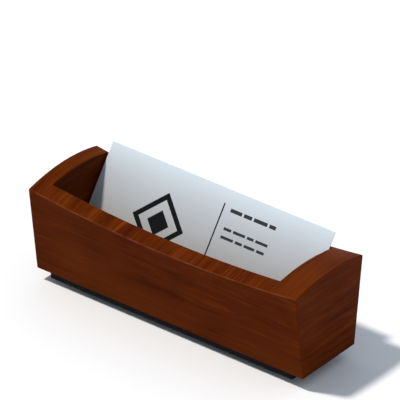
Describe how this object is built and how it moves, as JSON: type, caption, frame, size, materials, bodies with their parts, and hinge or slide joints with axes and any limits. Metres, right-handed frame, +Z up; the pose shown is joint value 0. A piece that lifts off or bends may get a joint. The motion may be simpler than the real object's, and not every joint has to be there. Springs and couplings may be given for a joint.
{
  "type": "desktop business card holder",
  "caption": "Desk-top holder: mitred wooden tray with dished, crowned top and sloping card rest on a low black plinth; the card lifts out along the slope.",
  "frame": {"origin": "centre of the base pad's underside, which is the face that the holder stands on", "axes": "+X along the holder's length, with its thicker end board at +X; +Y towards the back, the way the card leans; +Z up"},
  "size_m": [0.108, 0.0362, 0.0387],
  "materials": {
    "finished_wood": "satin reddish brown lacquer over fine-grained hardwood",
    "key_wood": "bare sawn wood, glued",
    "black_lacquer": "satin black lacquer",
    "screw_brass": "plain turned",
    "black_rubber": "matt moulded sheet",
    "card_stock": "smooth uncoated white card, printed on the front"
  },
  "bodies": {
    "holder": {"front_rail": "finished_wood", "back_board": "finished_wood", "left_end": "finished_wood", "right_end": "finished_wood", "floor_panel": "finished_wood", "card_rest": "finished_wood", "corner_keys": "key_wood", "plinth": "black_lacquer", "plinth_screws": "screw_brass", "base_pad": "black_rubber"},
    "card": {"business_card": "card_stock"}
  },
  "joints": [
    {"name": "card_lift", "type": "slide", "parent": "holder", "child": "card", "axis": [0, 0.5878, 0.809], "range_m": [0, 0.042]}
  ]
}
